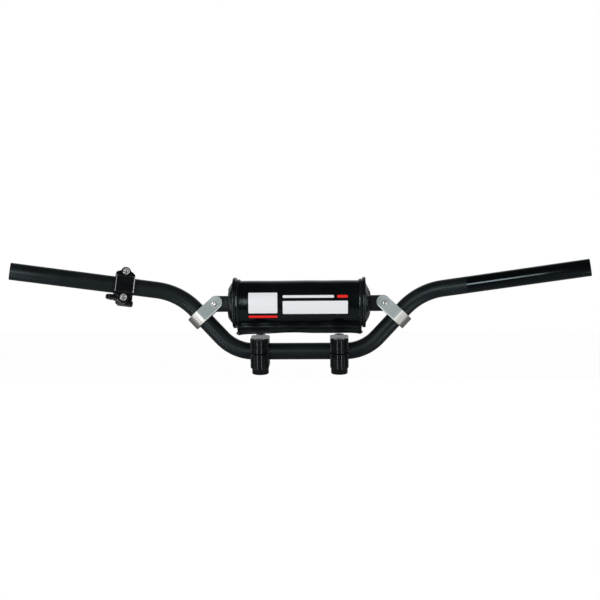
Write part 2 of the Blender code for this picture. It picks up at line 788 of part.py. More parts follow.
def build_perch_body(matrix, material):
    builder = bmesh.new()
    extruded(builder, perch_outline(), 0.6, PERCH_DEPTH, "xzy", 0.0, 1.0)
    body = make_object("perch_body", builder, material, matrix)

    # Block under the tube, chamfered at its outer lower corner.
    low = -PERCH_SCREW_Z - 6.5
    block = [
        (-4.4, low),
        (PERCH_HALF_X + 0.2, low),
        (PERCH_HALF_X + 0.2, TONGUE_TOP - TONGUE_STEP),
        (-PERCH_HALF_X + 1.2, TONGUE_TOP - TONGUE_STEP),
        (-PERCH_HALF_X + 1.2, low + 5.4),
    ]
    builder = bmesh.new()
    extruded(builder, block, 1.4, PERCH_BLOCK_DEPTH, "xzy", 0.8, 0.8)
    apply_cut(body, cutter("perch_block", builder, matrix), "UNION")

    # Tongue that the lever would turn on.
    reach = -PERCH_HALF_X + 5.0
    tongue = [(reach, PIVOT_Y - TONGUE_R), (reach, PIVOT_Y + TONGUE_R - 2.6)]
    for i in range(11):
        angle = math.radians(90 + 18 * i)
        tongue.append((PIVOT_X + TONGUE_R * math.cos(angle), PIVOT_Y + TONGUE_R * math.sin(angle)))
    builder = bmesh.new()
    extruded(builder, tongue, TONGUE_TOP - TONGUE_H, TONGUE_TOP, "xyz", 0.6, 0.6)
    apply_cut(body, cutter("perch_tongue", builder, matrix), "UNION")

    # Cable lug on the inboard side.
    builder = bmesh.new()
    extruded(builder, box_points(2.6, 12.2, low - 0.9, low + 5.0), 4.0, PERCH_HALF_X + 1.8, "yzx", 0.0, 0.7)
    apply_cut(body, cutter("perch_cable_lug", builder, matrix), "UNION")

    builder = bmesh.new()
    turned(
        builder,
        [(PIVOT_R, TONGUE_TOP - TONGUE_H - 3), (PIVOT_R, TONGUE_TOP + 3)],
        SCREW_FACET_COUNT,
        Matrix.Translation((PIVOT_X, PIVOT_Y, 0)),
    )
    along = Matrix.Translation((0, CABLE_HOLE_Y, low + 4.4)) @ Matrix.Rotation(math.pi / 2, 4, "Y")
    turned(builder, [(CABLE_HOLE_R, -9.0), (CABLE_HOLE_R, PERCH_HALF_X + 5)], SCREW_FACET_COUNT, along)
    apply_cut(body, cutter("perch_pivot_and_cable", builder, matrix))
    apply_cut(body, perch_holes("perch_body_holes", matrix))
    return body


def build_perch_screws(matrix, steel):
    seat = PERCH_EAR_DEPTH + GAP
    toward_rider = Matrix.Rotation(math.pi / 2, 4, "X")
    for place, z in (("upper", PERCH_SCREW_Z), ("lower", -PERCH_SCREW_Z)):
        at = matrix @ Matrix.Translation((0, -seat, z)) @ toward_rider
        name = "perch_screw_" + place
        socket_screw(name, steel, at, PERCH_SCREW_R, seat + PERCH_DEPTH - 2.0, PERCH_HEAD_R, PERCH_HEAD_H, 5.0)


def main():
    clear_scene()
    matte_black = make_material("black_anodised_aluminium", (0.018, 0.019, 0.021), 0.0, 0.5)
    gloss_black = make_material("gloss_black_aluminium", (0.012, 0.012, 0.013), 0.0, 0.22)
    plate_steel = make_material("zinc_plated_steel", (0.55, 0.57, 0.57), 1.0, 0.36)
    bright_steel = make_material("bright_screw_steel", (0.66, 0.66, 0.64), 1.0, 0.25)
    black_steel = make_material("black_oxide_steel", (0.03, 0.03, 0.032), 0.7, 0.35)
    vinyl = make_material("black_vinyl", (0.02, 0.021, 0.023), 0.0, 0.28)
    foam = make_material("dark_foam", (0.06, 0.06, 0.062), 0.0, 0.9)

    build_handlebar(matte_black)
    build_crossbar(matte_black)
    for side, sign in (("left", -1), ("right", 1)):
        build_strap(side + "_crossbar_strap", sign, plate_steel)
        build_strap_fasteners(side, sign, bright_steel)
        build_clamp(side, sign, gloss_black, black_steel)
    build_foam(foam)
    build_cover(vinyl)
    matrix = perch_frame()
    build_perch_cap(matrix, gloss_black)
    build_perch_body(matrix, gloss_black)
    build_perch_screws(matrix, bright_steel)


main()
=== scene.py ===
"""Looks of the motocross handlebar: tube, padded crossbar, straps, riser clamps and bare lever perch.

The bar, crossbar, straps, pad and perch are shaped in the plane that the bar rises in, and then leaned back.
Lengths are in millimetres until a piece is made, and the angles of the bar and the camera are in degrees.
"""

import json
import math
from collections import namedtuple
from functools import reduce

import bpy
from mathutils import Matrix, Vector, noise

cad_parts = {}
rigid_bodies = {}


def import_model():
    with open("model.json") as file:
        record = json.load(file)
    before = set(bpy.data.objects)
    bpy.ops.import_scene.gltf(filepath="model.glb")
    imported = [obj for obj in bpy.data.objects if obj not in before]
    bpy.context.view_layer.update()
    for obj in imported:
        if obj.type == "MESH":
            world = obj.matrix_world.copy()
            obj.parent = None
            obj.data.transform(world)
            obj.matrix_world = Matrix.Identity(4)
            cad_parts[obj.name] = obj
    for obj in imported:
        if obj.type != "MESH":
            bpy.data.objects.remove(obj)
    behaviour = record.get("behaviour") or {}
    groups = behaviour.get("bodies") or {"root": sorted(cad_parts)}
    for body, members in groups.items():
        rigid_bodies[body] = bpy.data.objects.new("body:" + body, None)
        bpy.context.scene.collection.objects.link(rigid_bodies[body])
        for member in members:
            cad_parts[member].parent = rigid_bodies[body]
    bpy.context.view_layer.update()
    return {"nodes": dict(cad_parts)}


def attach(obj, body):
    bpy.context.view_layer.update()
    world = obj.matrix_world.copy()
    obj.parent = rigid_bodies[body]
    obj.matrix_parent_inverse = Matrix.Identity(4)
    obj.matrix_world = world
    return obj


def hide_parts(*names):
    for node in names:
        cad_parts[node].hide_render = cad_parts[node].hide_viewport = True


MM = 0.001

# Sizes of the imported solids, in the plane of the bar
TUBE_R = 11.1
TUBE_WALL = 2.2
LOWER_BEND_X = 86.0
UPPER_BEND_X = 159.5
UPPER_BEND_Z = 78.15
LOWER_BEND_R = 58.9
UPPER_BEND_R = 81.8
GRIP_SWEEP = 15.0
GRIP_RISE = 7.72
GRIP_LENGTH = 220.5
LEAN = 8.0
CROSSBAR_Z = 63.3
STRAP_SCREW_X = 113.0
STRAP_FACE = 9.5
STRAP_REACH = 23.7
STRAP_TIP = 26.7
STRAP_HALF = 8.75
STRAP_THICKNESS = 3.4
STRAP_LEG_Y = 7.5
STRAP_LOOP_X = -0.9
STRAP_LOOP_R = 14.0
STRAP_LEG_END = 18.9
PAD_HALF = 84.6
PAD_HALF_Y = 27.0
PAD_HALF_Z = 30.2
PAD_Z = 64.6
PAD_SQUARENESS = 2.35
PAD_DOME = 10.0
FLAP_Y = -8.0
FLAP_DROP = 10.1
PERCH_ALONG = 74.0
PERCH_TILT = 14.2
PERCH_SCREW_Z = 17.5
PERCH_SEAT = 9.7
CLAMP_X = 52.6
CLAMP_FOOT = -30.3
BOSS_Y = 17.6
BOLT_SEAT = 13.4

# Sizes that only the dressed pieces have
EDGE = 0.45
STRAP_HOLE_R = 2.8
PAD_HOLE_Y = 6.3
PAD_HOLE_Z = 11.6
PAD_END_SLANT = {"left": 1.75, "right": 1.15}
PAD_END_DOME = {"left": 0.45, "right": 0.12}
PAD_END_BULGE = {"left": PAD_DOME - 1.0, "right": PAD_DOME - 1.4}
TAPE_R = 1.8
TAPE_LIFT = 1.1
HEM_WIDTH = 4.6
HEM_Z = PAD_Z - PAD_HALF_Z - FLAP_DROP
HEM_CORNER_X = 80.0
FLAP_HANG_Y = FLAP_Y + 2.0
FLAP_THICKNESS = 2.4
STITCH_HALF = 1.15
STITCH_R = 0.34
THREAD_PITCH = 0.8
CORNER_X = -8.0
CORNER_Z = -17.0
CORNER_CUT = 3.4

Screw = namedtuple("Screw", "head_r head_h key shank_r length")
STRAP_SCREW = Screw(head_r=3.15, head_h=2.2, key=3.2, shank_r=2.5, length=22.0)
PERCH_SCREW = Screw(head_r=4.7, head_h=2.7, key=4.4, shank_r=3.0, length=21.0)
CLAMP_BOLT = Screw(head_r=5.0, head_h=5.4, key=5.0, shank_r=3.0, length=28.0)

# Printed bars on the pad's front: left, right, low and high edge, each group in its ink
Bar = namedtuple("Bar", "left right low high")
WHITE_BARS = (Bar(-66.0, -28.0, 51.0, 78.0), Bar(-21.0, 64.0, 50.0, 67.0), Bar(-21.0, 46.0, 71.0, 74.5))
RED_BARS = (Bar(50.0, 64.0, 71.0, 74.5), Bar(-66.0, -28.0, 45.0, 48.0))
PRINT = (((0.74, 0.75, 0.775), WHITE_BARS), ((0.82, 0.006, 0.003), RED_BARS))
BAR_CORNER = 1.2
INK_ROUGHNESS = 0.34

# Material slots that two finishes share
ANODISED_SLOT = "black_anodised_aluminium"
VINYL_SLOT = "black_vinyl"

# Where along X the finish of the right grip section changes
GLOSS_START = 217.0
GLOSS_FULL = 220.0
GLOSS_FADE = 245.0
GLOSS_WORN = 345.0

# Camera, with its distance and target in metres
CAMERA_AZIMUTH = 1.8
CAMERA_ELEVATION = 8.7
CAMERA_ROLL = -0.61
CAMERA_DISTANCE = 1.4
CAMERA_TARGET = (0.0008, 0.0103, 0.0671)
FOCAL_PIXELS = 1053.0
PICTURE_PIXELS = 600.0

SIDES = (("left", -1), ("right", 1))
ALONG_X = (0, math.pi / 2, 0)
WHITE = (1.0, 1.0, 1.0)

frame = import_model()
LEANED = Matrix.Rotation(-math.radians(LEAN), 4, "X")


class Wire:
    """A socket of a shader tree. Arithmetic on it adds Math nodes."""

    def __init__(self, shaders, socket):
        self.shaders = shaders
        self.socket = socket

    def math(self, operation, *values):
        return self.shaders.node("ShaderNodeMath", {"operation": operation}, dict(enumerate(values)))

    def __add__(self, other):
        return self.math("ADD", self, other)

    def __radd__(self, other):
        return self.math("ADD", other, self)

    def __sub__(self, other):
        return self.math("SUBTRACT", self, other)

    def __rsub__(self, other):
        return self.math("SUBTRACT", other, self)

    def __mul__(self, other):
        return self.math("MULTIPLY", self, other)

    def __rmul__(self, other):
        return self.math("MULTIPLY", other, self)

    def __pow__(self, other):
        return self.math("POWER", self, other)

    def __abs__(self):
        return self.math("ABSOLUTE", self)

    def at_least(self, other):
        return self.math("MAXIMUM", self, other)

    def ramp(self, low, high, from_value=0.0, to_value=1.0):
        """Smoothly from one value to another as this one goes from low to high."""
        inputs = {"Value": self, "From Min": low, "From Max": high, "To Min": from_value, "To Max": to_value}
        return self.shaders.node("ShaderNodeMapRange", {"interpolation_type": "SMOOTHSTEP"}, inputs)


class Shaders:
    """The shader tree of a material or of the world."""

    def __init__(self, tree):
        self.tree = tree

    def node(self, kind, settings=None, inputs=None, output=0):
        """One node with its settings made first, then its sockets filled with values or wires."""
        made = self.tree.nodes.new(kind)
        for key, value in (settings or {}).items():
            setattr(made, key, value)
        for key, value in (inputs or {}).items():
            socket = made.inputs[key]
            if isinstance(value, Wire):
                self.tree.links.new(value.socket, socket)
            elif socket.type == "RGBA":
                socket.default_value = (*value, 1.0)
            else:
                socket.default_value = value
        return Wire(self, made.outputs[output])

    def parts(self, vector):
        return [self.node("ShaderNodeSeparateXYZ", {}, {0: vector}, axis) for axis in range(3)]

    def mix(self, factor, first, second):
        """A colour between two."""
        return self.node("ShaderNodeMix", {"data_type": "RGBA"}, {0: factor, 6: first, 7: second}, 2)

    def blend(self, factor, first, second):
        """A shader between two."""
        return self.node("ShaderNodeMixShader", {}, {0: factor, 1: first, 2: second})

    def ray(self, kind):
        """1 where the ray is of this kind, else 0."""
        return self.node("ShaderNodeLightPath", output=kind)

    def show(self, shader, output):
        """Leads a shader to the output node of this name."""
        self.tree.links.new(shader.socket, self.tree.nodes[output].inputs["Surface"])


class Finish(Shaders):
    """A material on its Principled shader, with the name of a slot kept on it."""

    def __init__(
        self,
        name,
        slot,
        colour,
        roughness,
        metallic=0.0,
        specular=0.5,
        coat=0.0,
        coat_roughness=0.1,
        tint=WHITE,
    ):
        self.slot = slot
        self.material = bpy.data.materials.new(name)
        self.material.use_nodes = True
        super().__init__(self.material.node_tree)
        self.shader = self.tree.nodes["Principled BSDF"]
        values = {
            "Base Color": (*colour, 1.0),
            "Roughness": roughness,
            "Metallic": metallic,
            "Specular IOR Level": specular,
            "Specular Tint": (*tint, 1.0),
            "Coat Weight": coat,
            "Coat Roughness": coat_roughness,
        }
        for socket, value in values.items():
            self.shader.inputs[socket].default_value = value

    def spot(self):
        """Object coordinates, in metres."""
        return self.node("ShaderNodeTexCoord", output="Object")

    def place(self, seat=LEANED):
        """Object coordinates in millimetres, in the leaned plane of the bar or on another seat."""
        inverse = seat.inverted()
        inputs = {
            "Vector": self.spot(),
            "Location": tuple(inverse.translation / MM),
            "Rotation": tuple(inverse.to_euler("XYZ")),
            "Scale": (1.0 / MM, 1.0 / MM, 1.0 / MM),
        }
        return self.node("ShaderNodeMapping", {"vector_type": "POINT"}, inputs)

    def stretched(self, vector, scale):
        return self.node("ShaderNodeMapping", {}, {"Vector": vector, "Scale": scale})

    def noise(self, vector, scale, detail=2.0, roughness=0.5):
        inputs = {"Vector": vector, "Scale": scale, "Detail": detail, "Roughness": roughness}
        return self.node("ShaderNodeTexNoise", {}, inputs, "Fac")

    def into(self, socket, wire):
        self.tree.links.new(wire.socket, self.shader.inputs[socket])

    def bump(self, height, strength, distance):
        """Relief from a height, with the distance in millimetres."""
        inputs = {"Height": height, "Strength": strength, "Distance": distance * MM}
        self.into("Normal", self.node("ShaderNodeBump", {}, inputs, "Normal"))


def blasted_black():
    """Bead-blasted black anodising, with its right grip section left glossy and duller toward the end."""
    shine = {"specular": 0.46, "tint": (0.72, 0.92, 1.0)}
    finish = Finish("blasted_black_anodising", ANODISED_SLOT, (0.005, 0.006, 0.0065), 0.4, **shine)
    place = finish.place()
    x = finish.parts(place)[0]
    gloss = x.ramp(GLOSS_START, GLOSS_FULL)
    grain = finish.noise(place, 2.6, 3.0, 0.6)
    cloud = finish.noise(place, 0.03, 3.0, 0.5)
    shade = finish.mix(cloud.ramp(0.3, 0.7), (0.0035, 0.0045, 0.005), (0.0065, 0.008, 0.009))
    finish.into("Base Color", finish.mix(gloss, shade, (0.001, 0.0014, 0.0016)))
    matte = cloud.ramp(0.25, 0.75, 0.38, 0.44) + grain.ramp(0.3, 0.7, -0.03, 0.03)
    polish = x.ramp(GLOSS_FADE, GLOSS_WORN, 0.14, 0.24)
    finish.into("Roughness", matte * (1.0 - gloss) + gloss * polish)
    finish.bump(grain * (1.0 - gloss), 0.25, 0.05)
    return finish


def plain_black():
    """The same anodising without the glossy grip, for the crossbar."""
    shine = {"specular": 0.3, "tint": (0.8, 0.95, 1.0)}
    finish = Finish("black_anodised_crossbar", ANODISED_SLOT, (0.006, 0.007, 0.0075), 0.42, **shine)
    place = finish.place()
    grain = finish.noise(place, 2.6, 3.0, 0.6)
    cloud = finish.noise(place, 0.05, 3.0, 0.5)
    shade = finish.mix(cloud.ramp(0.3, 0.7), (0.0055, 0.0065, 0.007), (0.009, 0.0105, 0.0115))
    finish.into("Base Color", shade)
    finish.into("Roughness", cloud.ramp(0.25, 0.75, 0.36, 0.46))
    finish.bump(grain, 0.2, 0.05)
    return finish


def gloss_black(name, colour, roughness, painted_light=None):
    """Machined and polished aluminium, anodised black: faint tool lines under the gloss, and any painted
    light laid on its colour.
    """
    shine = {"specular": 0.45, "coat": 0.05, "coat_roughness": 0.12, "tint": (0.82, 0.96, 1.0)}
    finish = Finish(name, "gloss_black_aluminium", colour, roughness, **shine)
    place = finish.place()
    lines = finish.noise(finish.stretched(place, (0.15, 6.0, 6.0)), 1.0, 2.0, 0.5)
    cloud = finish.noise(place, 0.12, 3.0, 0.55)
    lighter = tuple(value * 1.7 for value in colour)
    shade = finish.mix(cloud.ramp(0.35, 0.7), colour, lighter)
    finish.into("Base Color", painted_light(finish, shade) if painted_light else shade)
    finish.into("Roughness", cloud.ramp(0.3, 0.7, roughness - 0.04, roughness + 0.06))
    finish.bump(lines, 0.12, 0.03)
    return finish


def painted_edge_highlights(finish, black):
    """Painted highlight: both side edges of the perch cap's front painted a mottled light grey, standing in
    for the side lamps' glint on them.
    """
    x, y, z = finish.parts(finish.place(perch_place()))
    at_side = abs(x + 0.1).ramp(11.1, 11.4)
    at_front = y.ramp(-13.2, -13.8)
    on_flat = abs(z).ramp(13.5, 12.5)
    spots = finish.noise(finish.spot(), 450.0, 3.0, 0.6)
    edge_highlight = finish.mix(spots.ramp(0.36, 0.6), (0.22, 0.24, 0.25), (0.5, 0.53, 0.54))
    return finish.mix(at_side * at_front * on_flat, black, edge_highlight)


def satin_zinc():
    """Zinc-plated strip: satin on its flat legs, burnished where it was bent round the riser. The bend's
    colour is a painted highlight, near white where the bend starts and darkening outward into painted shade.
    """
    finish = Finish("satin_zinc_plate", "zinc_plated_steel", (0.3, 0.345, 0.345), 0.42, metallic=0.2)
    place = finish.place()
    x, y, z = finish.parts(place)
    slope = riser_slope()
    inward = z * math.cos(slope) - (abs(x) - LOWER_BEND_X) * math.sin(slope)
    across = (abs(x) - STRAP_SCREW_X) * math.cos(slope) + (z - CROSSBAR_Z) * math.sin(slope)
    loop = inward.ramp(1.6, 0.8)
    lower_edge_highlight = across.ramp(1.4 - STRAP_HALF, 0.9 - STRAP_HALF)
    grain = finish.noise(place, 2.2, 3.0, 0.65)
    cloud = finish.noise(place, 0.16, 3.0, 0.55)
    flat = finish.mix(grain.ramp(0.35, 0.65), (0.31, 0.362, 0.362), (0.374, 0.427, 0.427))
    flat = finish.mix(cloud.ramp(0.3, 0.72), flat, (0.35, 0.403, 0.403))
    # Painted highlight: a light line along the strip's lower edge
    flat = finish.mix(lower_edge_highlight, flat, (0.78, 0.81, 0.81))
    # Painted highlight and shade: near white at the start of the bend, darkening toward its outer edge
    bent = finish.mix(inward.ramp(0.5, -13.0), (0.92, 0.91, 0.885), (0.19, 0.187, 0.178))
    finish.into("Base Color", finish.mix(loop, flat, bent))
    finish.into("Metallic", loop.ramp(0.0, 1.0, 0.2, 0.4))
    finish.into("Roughness", loop.ramp(0.0, 1.0, 0.42, 0.36) + grain.ramp(0.3, 0.7, -0.02, 0.03))
    finish.bump(grain * (1.0 - loop), 0.25, 0.03)
    return finish


def bright_steel():
    finish = Finish("bright_steel", "bright_screw_steel", (0.76, 0.76, 0.74), 0.22, metallic=0.75)
    cloud = finish.noise(finish.place(), 0.6, 3.0, 0.6)
    finish.into("Base Color", finish.mix(cloud.ramp(0.35, 0.7), (0.66, 0.665, 0.655), (0.8, 0.8, 0.78)))
    finish.into("Roughness", cloud.ramp(0.3, 0.7, 0.16, 0.3))
    return finish


def black_steel():
    finish = Finish("black_oxide_steel", "black_oxide_steel", (0.03, 0.03, 0.032), 0.3, metallic=0.7)
    cloud = finish.noise(finish.place(), 0.8, 3.0, 0.6)
    finish.into("Base Color", finish.mix(cloud.ramp(0.35, 0.7), (0.02, 0.02, 0.022), (0.05, 0.05, 0.052)))
    finish.into("Roughness", cloud.ramp(0.3, 0.7, 0.24, 0.4))
    return finish


def vinyl(name, dark, light, smooth, dull, relief, bars=False):
    """Glossy coated fabric: a fine leather-like grain, soft creases and, if asked for, the printed bars."""
    finish = Finish(name, VINYL_SLOT, (0.003, 0.0035, 0.004), 0.15, tint=(0.78, 0.95, 1.0))
    place = finish.place()
    cloud = finish.noise(place, 0.045, 4.0, 0.6)
    cells = {"Vector": place, "Scale": 1.15}
    grain = finish.node("ShaderNodeTexVoronoi", {"feature": "DISTANCE_TO_EDGE"}, cells, "Distance")
    creases = finish.noise(finish.stretched(place, (0.35, 1.0, 1.0)), 0.13, 3.0, 0.55)
    shade = finish.mix(cloud.ramp(0.3, 0.7), dark, light)
    rough = cloud.ramp(0.3, 0.7, smooth, dull)
    if bars:
        shade, rough = printed(finish, place, shade, rough)
    finish.into("Base Color", shade)
    finish.into("Roughness", rough)
    finish.bump(grain.ramp(0.0, 0.25) * 0.12 + creases * 4.0, relief, 0.12)
    return finish


def printed(finish, place, shade, rough):
    """The vinyl's colour and roughness with the bars printed on its front."""
    x, y, z = finish.parts(place)
    front = y.ramp(-4.0, -9.0)

    def inked(bar):
        """1 on a bar with softly rounded corners, else 0."""
        across = abs(x - (bar.left + bar.right) / 2) - ((bar.right - bar.left) / 2 - BAR_CORNER)
        up = abs(z - (bar.low + bar.high) / 2) - ((bar.high - bar.low) / 2 - BAR_CORNER)
        return (across.at_least(0.0) ** 2.0 + up.at_least(0.0) ** 2.0).ramp(1.75, 1.1)

    for colour, group in PRINT:
        ink = reduce(Wire.at_least, map(inked, group)) * front
        shade = finish.mix(ink, shade, colour)
        rough = rough * (1.0 - ink) + ink * INK_ROUGHNESS
    return shade, rough


def thread():
    finish = Finish("black_thread", VINYL_SLOT, (0.02, 0.02, 0.022), 0.6)
    twist = finish.noise(finish.place(), 3.0, 2.0, 0.5)
    finish.into("Base Color", finish.mix(twist.ramp(0.3, 0.7), (0.014, 0.014, 0.015), (0.05, 0.05, 0.053)))
    finish.bump(twist, 0.4, 0.08)
    return finish


def pick_up(*pieces):
    """Selects these objects alone and makes the first active."""
    for obj in bpy.context.view_layer.objects:
        obj.select_set(False)
    for piece in pieces:
        piece.select_set(True)
    bpy.context.view_layer.objects.active = pieces[0]


def added(name):
    """Names the piece that was added last."""
    piece = bpy.context.view_layer.objects.active
    piece.name = name
    piece.data.name = name
    return piece


def edit(piece, choose, mode="VERT"):
    """Goes into edit mode with the vertices or faces chosen by a test on their place and normal selected."""
    pick_up(piece)
    bpy.ops.object.mode_set(mode="EDIT")
    bpy.ops.mesh.select_mode(type=mode)
    bpy.ops.mesh.select_all(action="DESELECT")
    bpy.ops.object.mode_set(mode="OBJECT")
    for item in piece.data.polygons if mode == "FACE" else piece.data.vertices:
        item.select = bool(choose(item.center if mode == "FACE" else item.co, item.normal))
    bpy.ops.object.mode_set(mode="EDIT")


def done():
    bpy.ops.object.mode_set(mode="OBJECT")


def extrude(step):
    """Extrudes the selection by a step in millimetres."""
    bpy.ops.mesh.extrude_region_move(TRANSFORM_OT_translate={"value": step * MM})


def outward(piece):
    """Merges doubles and turns every face outward."""
    edit(piece, lambda at, normal: True)
    bpy.ops.mesh.remove_doubles(threshold=0.000002)
    bpy.ops.mesh.normals_make_consistent(inside=False)
    done()


def modify(piece, kind, **settings):
    modifier = piece.modifiers.new(kind.lower(), kind)
    for key, value in settings.items():
        setattr(modifier, key, value)
    pick_up(piece)
    bpy.ops.object.modifier_apply(modifier=modifier.name)


def round_edges(piece, width, segments, angle, **settings):
    """Bevels the edges that are sharper than an angle in degrees."""
    limit = math.radians(angle)
    settings.update(width=width * MM, segments=segments, limit_method="ANGLE", angle_limit=limit)
    modify(piece, "BEVEL", **settings)


def cut(piece, tool):
    """Cuts the tool out of the piece and clears it away."""
    settle(tool)
    modify(piece, "BOOLEAN", operation="DIFFERENCE", solver="EXACT", object=tool)
    bpy.data.objects.remove(tool)


def settle(piece, matrix=None):
    """Bakes the piece's place into its mesh, so that its object sits at the origin."""
    bpy.context.view_layer.update()
    if matrix:
        piece.matrix_world = matrix @ piece.matrix_world
    pick_up(piece)
    bpy.ops.object.transform_apply(location=True, rotation=True, scale=True)


def shade_smooth(piece, angle=35.0):
    pick_up(piece)
    bpy.ops.object.shade_smooth_by_angle(angle=math.radians(angle))


def weigh_normals(piece):
    """Smooth shading that keeps flat faces flat beside their rounded edges."""
    shade_smooth(piece)
    modify(piece, "WEIGHTED_NORMAL", keep_sharp=True, weight=80)


def hand_over(piece, finish, *nodes):
    """Gives the piece its finish, hangs it on the root body and hides the CAD nodes it stands for."""
    piece.data.materials.clear()
    piece.data.materials.append(finish.material)
    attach(piece, "root")
    if nodes:
        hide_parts(*nodes)


def rounded(node, name, finish, width, segments=2):
    """A copy of a CAD node with its edges rounded."""
    mesh = frame["nodes"][node].data.copy()
    piece = bpy.data.objects.new(name, mesh)
    mesh.name = name
    bpy.context.scene.collection.objects.link(piece)
    edit(piece, lambda at, normal: True)
    bpy.ops.mesh.remove_doubles(threshold=0.000002)
    bpy.ops.mesh.dissolve_limited(angle_limit=math.radians(0.6))
    bpy.ops.mesh.faces_shade_smooth()
    done()
    round_edges(piece, width, segments, 32.0, miter_outer="MITER_ARC")
    weigh_normals(piece)
    hand_over(piece, finish, node)
    return piece


def grip_direction():
    rise = math.radians(GRIP_RISE)
    sweep = math.radians(GRIP_SWEEP)
    return Vector((math.cos(rise) * math.cos(sweep), -math.cos(rise) * math.sin(sweep), math.sin(rise)))


def riser_slope():
    return math.atan2(UPPER_BEND_Z, UPPER_BEND_X - LOWER_BEND_X)


def bend(corner, before, after, radius):
    """(start, centre, angle, axis) of the arc that rounds a corner between two directions."""
    angle = before.angle(after)
    reach = radius * math.tan(angle / 2)
    start = corner - before * reach
    inward = (after - before).normalized()
    centre = corner + inward * (radius / math.cos(angle / 2))
    return start, centre, angle, before.cross(after).normalized()


def main_tube(finish):
    """The right half is pushed and spun along its path, then mirrored and given its wall."""
    ahead = Vector((1, 0, 0))
    lower = Vector((LOWER_BEND_X, 0, 0))
    upper = Vector((UPPER_BEND_X, 0, UPPER_BEND_Z))
    riser = (upper - lower).normalized()
    grip = grip_direction()
    bpy.ops.mesh.primitive_circle_add(vertices=64, radius=TUBE_R * MM, rotation=ALONG_X)
    tube = added("main_tube")
    settle(tube)
    edit(tube, lambda at, normal: True)
    place = Vector((0, 0, 0))
    bends = ((lower, ahead, riser, LOWER_BEND_R), (upper, riser, grip, UPPER_BEND_R))
    for corner, before, after, radius in bends:
        start, centre, angle, axis = bend(corner, before, after, radius)
        extrude(start - place)
        bpy.ops.mesh.spin(steps=18, angle=-angle, center=centre * MM, axis=axis)
        place = corner + after * (start - corner).length
    end = upper + grip * GRIP_LENGTH
    for third in range(3):
        extrude((end - place) / 3)
    done()
    modify(tube, "MIRROR", use_axis=(True, False, False), merge_threshold=0.00001)
    outward(tube)
    modify(tube, "SOLIDIFY", thickness=TUBE_WALL * MM, offset=-1.0, use_even_offset=True)
    round_edges(tube, EDGE, 2, 60.0)
    settle(tube, LEANED)
    shade_smooth(tube)
    hand_over(tube, finish, "handlebar_tube")


def strap(side, sign, finish):
    """A strip with round ends, bent round the riser, with a hole through both legs."""
    bpy.ops.mesh.primitive_plane_add(size=2.0)
    band = added(side + "_strap")
    tip = STRAP_TIP + STRAP_HALF
    for vertex in band.data.vertices:
        x = tip if vertex.co.x > 0 else STRAP_LEG_END
        vertex.co = Vector((x, -STRAP_LEG_Y, math.copysign(STRAP_HALF, vertex.co.y))) * MM
    edit(band, lambda at, normal: at.x < (STRAP_LEG_END + 1.0) * MM)
    reach = math.hypot(STRAP_LEG_END - STRAP_LOOP_X, STRAP_LEG_Y)
    leave = math.atan2(STRAP_LEG_END - STRAP_LOOP_X, STRAP_LEG_Y) - math.acos(STRAP_LOOP_R / reach)
    start = Vector((STRAP_LOOP_X + STRAP_LOOP_R * math.sin(leave), -STRAP_LOOP_R * math.cos(leave), 0))
    extrude(start - Vector((STRAP_LEG_END, -STRAP_LEG_Y, 0)))
    bpy.ops.mesh.spin(steps=44, angle=math.pi + 2 * leave, center=(STRAP_LOOP_X * MM, 0, 0), axis=(0, 0, 1))
    extrude(Vector((STRAP_LEG_END, STRAP_LEG_Y, 0)) - Vector((start.x, -start.y, 0)))
    extrude(Vector((tip - STRAP_LEG_END, 0, 0)))
    done()
    edit(band, lambda at, normal: at.x > (tip - 0.1) * MM)
    bpy.ops.mesh.bevel(offset=STRAP_HALF * 0.96 * MM, segments=12, affect="VERTICES")
    done()
    modify(band, "SOLIDIFY", thickness=STRAP_THICKNESS * MM, offset=0.0)
    outward(band)
    bpy.ops.mesh.primitive_cylinder_add(
        vertices=36,
        radius=STRAP_HOLE_R * MM,
        depth=40 * MM,
        location=(STRAP_REACH * MM, 0, 0),
        rotation=(math.pi / 2, 0, 0),
    )
    cut(band, added("hole"))
    round_edges(band, EDGE, 2, 50.0)
    slope = riser_slope()
    along = Vector((sign * math.cos(slope), 0, math.sin(slope)))
    inward = Vector((-sign * math.sin(slope), 0, math.cos(slope)))
    foot = Vector((sign * STRAP_SCREW_X, 0, CROSSBAR_Z)) - inward * STRAP_REACH
    turn = Matrix((inward, (0, 1, 0), along)).transposed().to_4x4()
    turn.translation = foot * MM
    settle(band, LEANED @ turn)
    outward(band)
    weigh_normals(band)
    hand_over(band, finish, side + "_crossbar_strap")


def oval_radius(angle, less=0.0):
    """Distance from the pad's axis to its skin at this angle from +Y to +Z, in millimetres."""
    across = abs(math.cos(angle)) / (PAD_HALF_Y - less)
    up = abs(math.sin(angle)) / (PAD_HALF_Z - less)
    return (across**PAD_SQUARENESS + up**PAD_SQUARENESS) ** (-1 / PAD_SQUARENESS)


def waviness(angle, waves, seed):
    """Noise that closes on itself round the pad."""
    return noise.noise(Vector((math.cos(angle) * waves, math.sin(angle) * waves, seed)))


def wrap_to_pad(piece, less=0.0):
    """Moves a round piece of radius one metre about X onto the pad's oval, keeping its heights above it."""
    for vertex in piece.data.vertices:
        across, up = vertex.co.y, vertex.co.z
        angle = math.atan2(up, across)
        radius = oval_radius(angle, less) * MM + math.hypot(across, up) - 1.0
        vertex.co.y = radius * math.cos(angle)
        vertex.co.z = radius * math.sin(angle) + PAD_Z * MM


